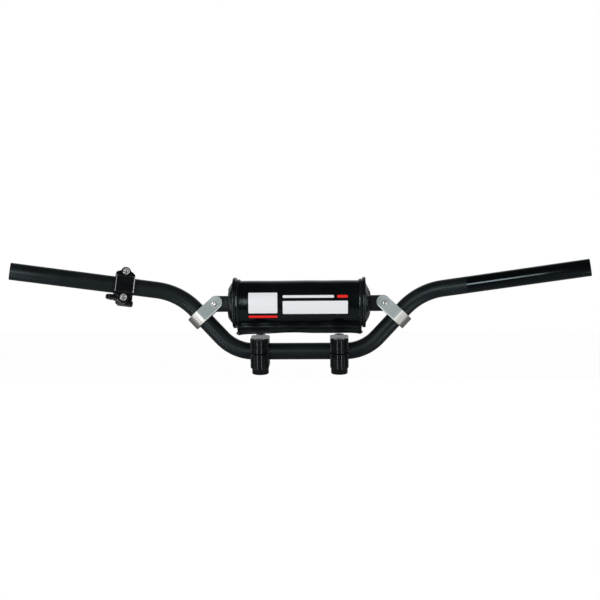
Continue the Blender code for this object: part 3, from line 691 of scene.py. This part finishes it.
def swell(piece, pinned, most, pressure, steps=20):
    """Inflates a closed skin as cloth and caps how far a point may move, in millimetres."""
    group = piece.vertex_groups.new(name="sewn")
    group.add([v.index for v in piece.data.vertices if pinned(v.co)], 1.0, "REPLACE")
    before = [v.co.copy() for v in piece.data.vertices]
    cloth = piece.modifiers.new("cloth", "CLOTH")
    cloth.settings.effector_weights.gravity = 0.0
    cloth.settings.use_pressure = True
    cloth.settings.uniform_pressure_force = pressure
    cloth.settings.vertex_group_mass = "sewn"
    cloth.settings.quality = 6
    cloth.settings.mass = 0.2
    cloth.settings.tension_stiffness = 18.0
    cloth.settings.compression_stiffness = 18.0
    cloth.settings.bending_stiffness = 0.3
    cloth.point_cache.frame_start = 1
    cloth.point_cache.frame_end = steps
    for number in range(1, steps + 1):
        bpy.context.scene.frame_set(number)
    graph = bpy.context.evaluated_depsgraph_get()
    moved = [v.co.copy() for v in piece.evaluated_get(graph).data.vertices]
    piece.modifiers.remove(cloth)
    bpy.context.scene.frame_set(1)
    for vertex, old, new in zip(piece.data.vertices, before, moved):
        step = new - old
        if step.length > most * MM:
            step *= most * MM / step.length
        vertex.co = old + step
    piece.vertex_groups.clear()


def pad_roll(finish):
    """The stuffed roll between its two bound ends."""
    half = PAD_HALF + 2.0
    bpy.ops.mesh.primitive_cylinder_add(vertices=96, radius=1.0, depth=2 * half * MM, rotation=ALONG_X)
    roll = added("pad_roll")
    settle(roll)
    wrap_to_pad(roll, 0.9)
    modify(roll, "REMESH", mode="VOXEL", voxel_size=4.2 * MM, use_smooth_shade=True)
    swell(roll, lambda at: abs(at.x) > (half - 7.0) * MM, most=1.6, pressure=4.0)
    modify(roll, "SUBSURF", levels=2, render_levels=2)
    for vertex in roll.data.vertices:
        at = vertex.co / MM
        angle = math.atan2(at.z - PAD_Z, at.y)
        from_end = max(0.0, PAD_HALF - abs(at.x))
        pucker = waviness(angle, 4.2, 3.0 if at.x > 0 else -3.0) * math.exp(-from_end / 9.0)
        slow = noise.noise(at * 0.035 + Vector((5.0, 1.0, 2.0)))
        inward = 0.75 * pucker + 0.35 * slow
        vertex.co.y += inward * math.cos(angle) * MM
        vertex.co.z += inward * math.sin(angle) * MM
    settle(roll, LEANED)
    shade_smooth(roll, 60.0)
    hand_over(roll, finish, "pad_cover", "pad_foam")


def pad_end(side, sign, finish):
    """The bulging end, pleated at its rim, with a lipped opening for the crossbar."""
    bpy.ops.mesh.primitive_uv_sphere_add(segments=72, ring_count=36, radius=1.0, rotation=ALONG_X)
    end = added("pad_end_" + side)
    settle(end)
    edit(end, lambda at, normal: at.x < -0.001 or math.hypot(at.y, at.z) < 0.16)
    bpy.ops.mesh.delete(type="VERT")
    done()
    rim = min(math.hypot(v.co.y, v.co.z) for v in end.data.vertices)
    dome = PAD_END_DOME[side]
    for vertex in end.data.vertices:
        at = vertex.co
        angle = math.atan2(at.z, at.y)
        share = (math.hypot(at.y, at.z) - rim) / (1.0 - rim)
        skin = oval_radius(angle, 0.4)
        hole = (abs(math.cos(angle) / PAD_HOLE_Y) ** 4 + abs(math.sin(angle) / PAD_HOLE_Z) ** 4) ** -0.25
        y = hole * math.cos(angle) * (1.0 - share) + skin * math.cos(angle) * share
        z = hole * math.sin(angle) * (1.0 - share) + (PAD_Z - CROSSBAR_Z + skin * math.sin(angle)) * share
        cone = min(1.0, max(0.0, 1.0 - share) * PAD_END_SLANT[side]) ** 0.92
        bulge = PAD_END_BULGE[side] * (dome * max(0.0, at.x) ** 0.8 + (1.0 - dome) * cone)
        bulge += 1.1 * waviness(angle, 4.5, 7.0 * sign) * share * (1.0 - share) * 4
        bulge += 0.7 * noise.noise(Vector((at.y * 1.6, at.z * 1.6, 3.0 * sign))) * (1.0 - share**4)
        vertex.co = Vector((sign * (PAD_HALF + 0.8 + bulge), y, CROSSBAR_Z + z)) * MM
    outward(end)

    def at_hole(at, normal):
        across = at.y / (PAD_HOLE_Y * 1.02 * MM)
        up = (at.z - CROSSBAR_Z * MM) / (PAD_HOLE_Z * 1.02 * MM)
        return across**4 + up**4 < 1.0

    edit(end, at_hole)
    extrude(Vector((-sign * 4.0, 0, 0)))
    done()
    modify(end, "SOLIDIFY", thickness=1.0 * MM, offset=-1.0)
    settle(end, LEANED)
    shade_smooth(end, 60.0)
    hand_over(end, finish)


def pad_binding(side, sign, finish):
    """Folded tape that closes the seam between the roll and its end."""
    bpy.ops.mesh.primitive_torus_add(
        major_segments=144, minor_segments=14, major_radius=1.0, minor_radius=TAPE_R * MM, rotation=ALONG_X
    )
    ring = added("pad_binding_" + side)
    settle(ring)
    for vertex in ring.data.vertices:
        at = vertex.co
        radial = math.hypot(at.y, at.z) - 1.0
        thick = math.hypot(at.x, radial)
        wide = math.copysign(thick * abs(at.x / thick) ** 0.62, at.x)
        tall = math.copysign(thick * abs(radial / thick) ** 0.62, radial)
        wave = waviness(math.atan2(at.z, at.y), 5.0, 11.0 * sign)
        stretch = 1.0 + tall * 1.25 + (TAPE_LIFT + 0.45 * wave) * MM
        scale = stretch / (radial + 1.0)
        vertex.co = Vector((wide * 1.3 + sign * 0.3 * tall + 0.5 * MM * wave, at.y * scale, at.z * scale))
    wrap_to_pad(ring)
    for vertex in ring.data.vertices:
        vertex.co.x += sign * (PAD_HALF + 0.5) * MM
    outward(ring)
    settle(ring, LEANED)
    shade_smooth(ring, 60.0)
    hand_over(ring, finish)


def hem_tape(side, sign, finish):
    """Turned-in hem beside the binding, a shallow band round the roll."""
    bpy.ops.mesh.primitive_cylinder_add(
        vertices=144, radius=1.0, depth=HEM_WIDTH * MM, end_fill_type="NOTHING", rotation=ALONG_X
    )
    band = added("pad_hem_" + side)
    settle(band)
    modify(band, "SOLIDIFY", thickness=1.0 * MM, offset=0.0)
    outward(band)
    round_edges(band, 0.3, 2, 50.0)
    for vertex in band.data.vertices:
        wave = waviness(math.atan2(vertex.co.z, vertex.co.y), 3.5, 17.0 * sign)
        scale = 1.0 + (0.1 + 0.35 * wave) * MM
        vertex.co.y *= scale
        vertex.co.z *= scale
        vertex.co.x += 0.5 * MM * wave
    wrap_to_pad(band, -0.15)
    for vertex in band.data.vertices:
        vertex.co.x += sign * (PAD_HALF - 3.6) * MM
    settle(band, LEANED)
    shade_smooth(band, 40.0)
    hand_over(band, finish)


def flap_low(x):
    """How far the flap's lower edge waves from straight."""
    ends = math.exp(-(((x + HEM_CORNER_X) / 9.0) ** 2)) + 0.6 * math.exp(-(((x - HEM_CORNER_X) / 9.0) ** 2))
    wave = 0.9 * math.exp(-(((x + 10.0) / 24.0) ** 2)) - 0.9 * math.exp(-(((x + 60.0) / 26.0) ** 2))
    return wave - 1.3 * ends


def flap_swing(x, down):
    """How far the flap swings back at a share of its way down."""
    return 1.1 * math.sin(x * 0.075 + 0.6) * down + 0.6 * noise.noise(Vector((x * 0.06, down * 2.0, 9.0)))


def pad_flap(finish):
    """The closing flap: a folded sheet that hangs from the front crease and waves along its hem."""
    half = PAD_HALF - 2.4
    top = PAD_Z - PAD_HALF_Z + 4.0
    upright = (math.pi / 2, 0, 0)
    bpy.ops.mesh.primitive_grid_add(x_subdivisions=120, y_subdivisions=16, size=2.0, rotation=upright)
    flap = added("pad_flap")
    settle(flap)
    for vertex in flap.data.vertices:
        x = vertex.co.x * half
        down = (1.0 - vertex.co.z) / 2
        z = top + (HEM_Z + flap_low(x) - top) * down
        belly = 2.6 * math.exp(-(((down - 0.36) / 0.16) ** 2))
        y = FLAP_HANG_Y - 3.0 * (1.0 - down) - belly + flap_swing(x, down)
        vertex.co = Vector((x, y, z)) * MM
    modify(flap, "SOLIDIFY", thickness=FLAP_THICKNESS * MM, offset=0.0)
    outward(flap)
    round_edges(flap, 0.8, 3, 60.0)
    settle(flap, LEANED)
    shade_smooth(flap, 50.0)
    hand_over(flap, finish)


def hem_corner(side, sign, finish):
    """Lump where the flap's hem is folded over on itself."""
    bpy.ops.mesh.primitive_uv_sphere_add(segments=32, ring_count=18, radius=1.0)
    corner = added("pad_hem_corner_" + side)
    for vertex in corner.data.vertices:
        at = vertex.co
        lump = 1.0 + 0.14 * noise.noise(at * 1.7 + Vector((4.0 * sign, 1.0, 0.0)))
        vertex.co = Vector((at.x * 3.6 * lump + 0.5 * sign * at.z, at.y * 2.5 * lump, at.z * 2.5 * lump)) * MM
    low = HEM_Z + flap_low(sign * HEM_CORNER_X)
    settle(corner, LEANED @ shift(sign * (PAD_HALF - 4.6), FLAP_Y + 1.6, low + 1.6))
    shade_smooth(corner, 60.0)
    hand_over(corner, finish)


def hem_roll(finish):
    """Rolled lower edge of the flap."""
    half = PAD_HALF - 4.0
    rings = 60
    bpy.ops.mesh.primitive_cylinder_add(vertices=16, radius=1.0, depth=2.0, rotation=ALONG_X)
    roll = added("pad_hem_roll")
    settle(roll)
    edit(roll, lambda at, normal: True)
    for ring in range(1, rings):
        bpy.ops.mesh.select_all(action="SELECT")
        bpy.ops.mesh.bisect(plane_co=(2 * ring / rings - 1.0, 0, 0), plane_no=(1, 0, 0))
    done()
    for vertex in roll.data.vertices:
        x = vertex.co.x * half
        thick = 1.0 + 0.12 * noise.noise(Vector((x * 0.13, 0.0, 5.0)))
        y = FLAP_HANG_Y + flap_swing(x, 1.0) + vertex.co.y * 1.75 * thick
        z = HEM_Z + flap_low(x) + 1.35 + vertex.co.z * 1.5 * thick
        vertex.co = Vector((x, y, z)) * MM
    settle(roll, LEANED)
    shade_smooth(roll, 50.0)
    hand_over(roll, finish)


def seam_spots(x, less, count):
    """(place, direction) of each stitch of a seam round the pad."""
    spots = []
    for i in range(count):
        angle = 2 * math.pi * i / count
        ahead = 2 * math.pi * (i + 0.2) / count
        radius, onward = oval_radius(angle, less), oval_radius(ahead, less)
        here = Vector((x, radius * math.cos(angle), PAD_Z + radius * math.sin(angle)))
        there = Vector((x, onward * math.cos(ahead), PAD_Z + onward * math.sin(ahead)))
        spots.append((here, there - here))
    return spots


def stitched(name, spots, finish):
    """One short stitch, copied to each spot and joined as one piece."""
    bpy.ops.mesh.primitive_uv_sphere_add(segments=8, ring_count=5, radius=1.0)
    stitch = added(name)
    size = Matrix.Diagonal((STITCH_HALF * MM, STITCH_R * MM, STITCH_R * MM, 1.0))
    made = []
    for place, direction in spots:
        twin = bpy.data.objects.new(name + "_part", stitch.data.copy())
        bpy.context.scene.collection.objects.link(twin)
        turn = direction.to_track_quat("X", "Z").to_matrix().to_4x4()
        twin.matrix_world = Matrix.Translation(place * MM) @ turn @ size
        made.append(twin)
    bpy.data.objects.remove(stitch)
    pick_up(*made)
    bpy.ops.object.join()
    seam = added(name)
    settle(seam, LEANED)
    shade_smooth(seam, 60.0)
    hand_over(seam, finish)


def socket_screw(name, node, place, size, finish):
    """A socket-head screw with a knurled head along +Z of its place, replacing its CAD node."""
    middle = size.head_h / 2 * MM
    bpy.ops.mesh.primitive_cylinder_add(
        vertices=60, radius=size.head_r * MM, depth=size.head_h * MM, location=(0, 0, middle)
    )
    head = added(name)
    settle(head)
    for vertex in head.data.vertices:
        if 5 < math.degrees(math.atan2(vertex.co.y, vertex.co.x)) % 12 < 7:
            vertex.co.x *= 0.955
            vertex.co.y *= 0.955
    edit(head, lambda at, normal: normal.z > 0.9, "FACE")
    for inset, lift in ((0.32, 0.28), (0.45, 0.06)):
        bpy.ops.mesh.inset(thickness=inset * MM)
        bpy.ops.transform.translate(value=(0, 0, lift * MM))
    done()
    bpy.ops.mesh.primitive_cylinder_add(
        vertices=6,
        radius=size.key / math.sqrt(3) * MM,
        depth=size.head_h * 1.2 * MM,
        location=(0, 0, size.head_h * 1.06 * MM),
    )
    cut(head, added(name + "_key"))
    round_edges(head, 0.14, 2, 40.0)
    bpy.ops.mesh.primitive_cylinder_add(
        vertices=24, radius=size.shank_r * MM, depth=size.length * MM, location=(0, 0, -size.length / 2 * MM)
    )
    shank = added(name + "_shank")
    settle(shank)
    edit(shank, lambda at, normal: True)
    for i in range(1, int(size.length / THREAD_PITCH) * 2):
        depth = i * THREAD_PITCH / 2
        bpy.ops.mesh.select_all(action="SELECT")
        bpy.ops.mesh.bisect(plane_co=(0, 0, -depth * MM), plane_no=(0, 0, 1))
        if i % 2 and depth > size.length * 0.45:
            bpy.ops.transform.resize(value=(0.9, 0.9, 1.0), center_override=(0, 0, 0))
    done()
    pick_up(head, shank)
    bpy.ops.object.join()
    settle(head, place)
    shade_smooth(head)
    hand_over(head, finish, node)


def shift(x, y, z):
    return Matrix.Translation(Vector((x, y, z)) * MM)


def facing_rider(place):
    """A place whose +Z points at the rider."""
    return place @ Matrix.Rotation(math.pi / 2, 4, "X")


def perch_place():
    """Middle of the perch on the left grip section, with +X inboard and +Y away from the rider."""
    inboard = grip_direction()
    inboard.y = -inboard.y
    inboard.z = -inboard.z
    away = (Vector((0, 1, 0)) - inboard * inboard.y).normalized()
    matrix = Matrix((inboard, away, inboard.cross(away))).transposed().to_4x4()
    matrix.translation = (Vector((-UPPER_BEND_X, 0, UPPER_BEND_Z)) - inboard * PERCH_ALONG) * MM
    return LEANED @ matrix @ Matrix.Rotation(-math.radians(PERCH_TILT), 4, "X")


def draw_in_corner(block, place):
    """Draws in the lower left corner of the perch's body, by its own place."""
    for vertex in block.data.vertices:
        at = place.inverted() @ vertex.co / MM
        if at.x < CORNER_X and at.z < CORNER_Z:
            at.x += CORNER_CUT * min(1.0, (CORNER_X - at.x) / 2.0) * min(1.0, CORNER_Z - at.z)
            vertex.co = place @ (at * MM)


def aimed(place, target):
    """A matrix at a place that looks at a target along its -Z."""
    return Matrix.Translation(place) @ (target - place).to_track_quat("-Z", "Y").to_matrix().to_4x4()


def camera():
    data = bpy.data.cameras.new("camera")
    data.sensor_width = 36.0
    data.lens = data.sensor_width * FOCAL_PIXELS / PICTURE_PIXELS
    data.clip_end = 50.0
    obj = bpy.data.objects.new("camera", data)
    bpy.context.scene.collection.objects.link(obj)
    azimuth, elevation = math.radians(CAMERA_AZIMUTH), math.radians(CAMERA_ELEVATION)
    level = math.cos(elevation)
    back = Vector((math.sin(azimuth) * level, -math.cos(azimuth) * level, math.sin(elevation)))
    target = Vector(CAMERA_TARGET)
    roll = Matrix.Rotation(math.radians(CAMERA_ROLL), 4, "Z")
    obj.matrix_world = aimed(target + back * CAMERA_DISTANCE, target) @ roll
    bpy.context.scene.camera = obj


def lamp(name, place, target, width, height, power):
    """A rectangular softbox, placed in metres."""
    data = bpy.data.lights.new(name, "AREA")
    data.shape = "RECTANGLE"
    data.size = width
    data.size_y = height
    data.energy = power
    obj = bpy.data.objects.new(name, data)
    bpy.context.scene.collection.objects.link(obj)
    obj.matrix_world = aimed(Vector(place), Vector(target))


def surround():
    """Plain white to the camera. The part's gloss shows it pale behind and below, and dark in front."""
    world = bpy.data.worlds.new("studio")
    world.use_nodes = True
    bpy.context.scene.world = world
    shaders = Shaders(world.node_tree)

    def background(strength, colour):
        return shaders.node("ShaderNodeBackground", {}, {"Strength": strength, "Color": colour})

    x, y, z = shaders.parts(shaders.node("ShaderNodeTexCoord", output="Generated"))
    behind = y.ramp(0.55, 0.95, 0.03, 0.7)
    below = z.ramp(-0.12, -0.3, 0.0, 0.22) * abs(x).ramp(0.12, 0.34, 1.0, 0.35)
    mirrored = background(behind.at_least(below), (0.93, 0.98, 1.0))
    fill = background(y.ramp(-0.1, 0.6, 0.58, 1.0), WHITE)
    either = shaders.ray("Is Glossy Ray").at_least(shaders.ray("Is Transmission Ray"))
    unseen = shaders.blend(either, fill, mirrored)
    shaders.show(shaders.blend(shaders.ray("Is Camera Ray"), unseen, background(1.0, WHITE)), "World Output")


def white_floor():
    """A small table under the risers, white to the camera but for the part's faint shadow."""
    bpy.ops.mesh.primitive_plane_add(size=1.0, location=(0, 0.13, (CLAMP_FOOT - 0.2) * MM))
    floor = added("floor")
    floor.scale = (1.6, 0.36, 1.0)
    settle(floor)
    finish = Finish("white_floor", None, (0.2, 0.2, 0.2), 0.9, specular=0.1)
    seen = finish.ray("Is Camera Ray").at_least(finish.ray("Is Transmission Ray")) * 0.985
    share = seen.at_least(finish.ray("Is Glossy Ray") * 0.05)
    glow = finish.node("ShaderNodeEmission", {}, {"Color": WHITE, "Strength": 1.0})
    finish.show(finish.blend(share, Wire(finish, finish.shader.outputs[0]), glow), "Material Output")
    floor.data.materials.append(finish.material)


def studio():
    """White surround, small white floor, two tall strips beside the part and a softbox in front of it."""
    bpy.context.scene.view_settings.view_transform = "Standard"
    surround()
    white_floor()
    lamp("left_strip", (-1.3, -1.45, -0.55), (0, 0, -0.55), 0.22, 3.4, 14.0)
    lamp("right_strip", (1.4, -1.3, -0.55), (0, 0, -0.55), 0.22, 3.4, 14.0)
    lamp("front_softbox", (-0.66, -2.1, 0.52), (0, 0, 0.06), 0.46, 0.6, 8.0)


def clamp_bolts(side, sign, steel):
    """The bolts in the front and rear boss of one riser clamp."""
    for end, y in (("front", -BOSS_Y), ("rear", BOSS_Y)):
        bolt = side + "_" + end + "_clamp_bolt"
        socket_screw(bolt + "_head", bolt, shift(sign * CLAMP_X, y, BOLT_SEAT), CLAMP_BOLT, steel)


def perch(black, highlighted_cap, steel):
    """The lever perch without its lever: cap, body and two screws."""
    place = perch_place()
    rounded("perch_cap", "perch_face", highlighted_cap, 0.5)
    draw_in_corner(rounded("perch_body", "perch_block", black, EDGE), place)
    for end, z in (("upper", PERCH_SCREW_Z), ("lower", -PERCH_SCREW_Z)):
        seat = facing_rider(place @ shift(0, -PERCH_SEAT, z))
        socket_screw("perch_cap_screw_" + end, "perch_screw_" + end, seat, PERCH_SCREW, steel)


def pad(printed_vinyl, plain_vinyl, black_thread):
    """The crossbar's pad: roll, ends, bindings, hems, stitches and flap."""
    pad_roll(printed_vinyl)
    for side, sign in SIDES:
        pad_end(side, sign, plain_vinyl)
        pad_binding(side, sign, plain_vinyl)
        hem_tape(side, sign, plain_vinyl)
        stitched("pad_seam_" + side, seam_spots(sign * (PAD_HALF - 3.4), -0.85, 60), black_thread)
        hem_corner(side, sign, plain_vinyl)
    pad_flap(plain_vinyl)
    hem_roll(plain_vinyl)


def build():
    steel = bright_steel()
    zinc = satin_zinc()
    clamp_black = gloss_black("polished_black_clamps", (0.0022, 0.0027, 0.003), 0.23)
    dark_steel = black_steel()
    main_tube(blasted_black())
    rounded("crossbar", "crossbar_tabs", plain_black(), 0.5)
    for side, sign in SIDES:
        strap(side, sign, zinc)
        rounded(side + "_strap_nut", side + "_nut", steel, 0.2)
        rounded(side + "_upper_clamp", side + "_clamp_cap", clamp_black, EDGE, 3)
        rounded(side + "_lower_clamp", side + "_clamp_post", clamp_black, EDGE, 3)
        seat = facing_rider(LEANED @ shift(sign * STRAP_SCREW_X, -STRAP_FACE, CROSSBAR_Z))
        socket_screw(side + "_strap_cap_screw", side + "_strap_screw", seat, STRAP_SCREW, steel)
        clamp_bolts(side, sign, dark_steel)
    perch(
        gloss_black("polished_black_perch", (0.0035, 0.0035, 0.004), 0.2),
        # the cap's copy has painted highlights along its side edges
        gloss_black("black_perch_cap_painted_edge_highlights", (0.0035, 0.0035, 0.004), 0.2, painted_edge_highlights),
        steel,
    )
    # One black vinyl in two tones: the trim's tone, about twice the roll's, is painted light on the ends and
    # trim, and the roll's darker tone is painted shade
    pad(
        vinyl("printed_vinyl", (0.0014, 0.0022, 0.0025), (0.0028, 0.0038, 0.0042), 0.11, 0.17, 0.2, True),
        vinyl("black_vinyl_trim", (0.0025, 0.0034, 0.0037), (0.0055, 0.0068, 0.0072), 0.18, 0.28, 0.35),
        thread(),
    )


camera()
studio()
build()
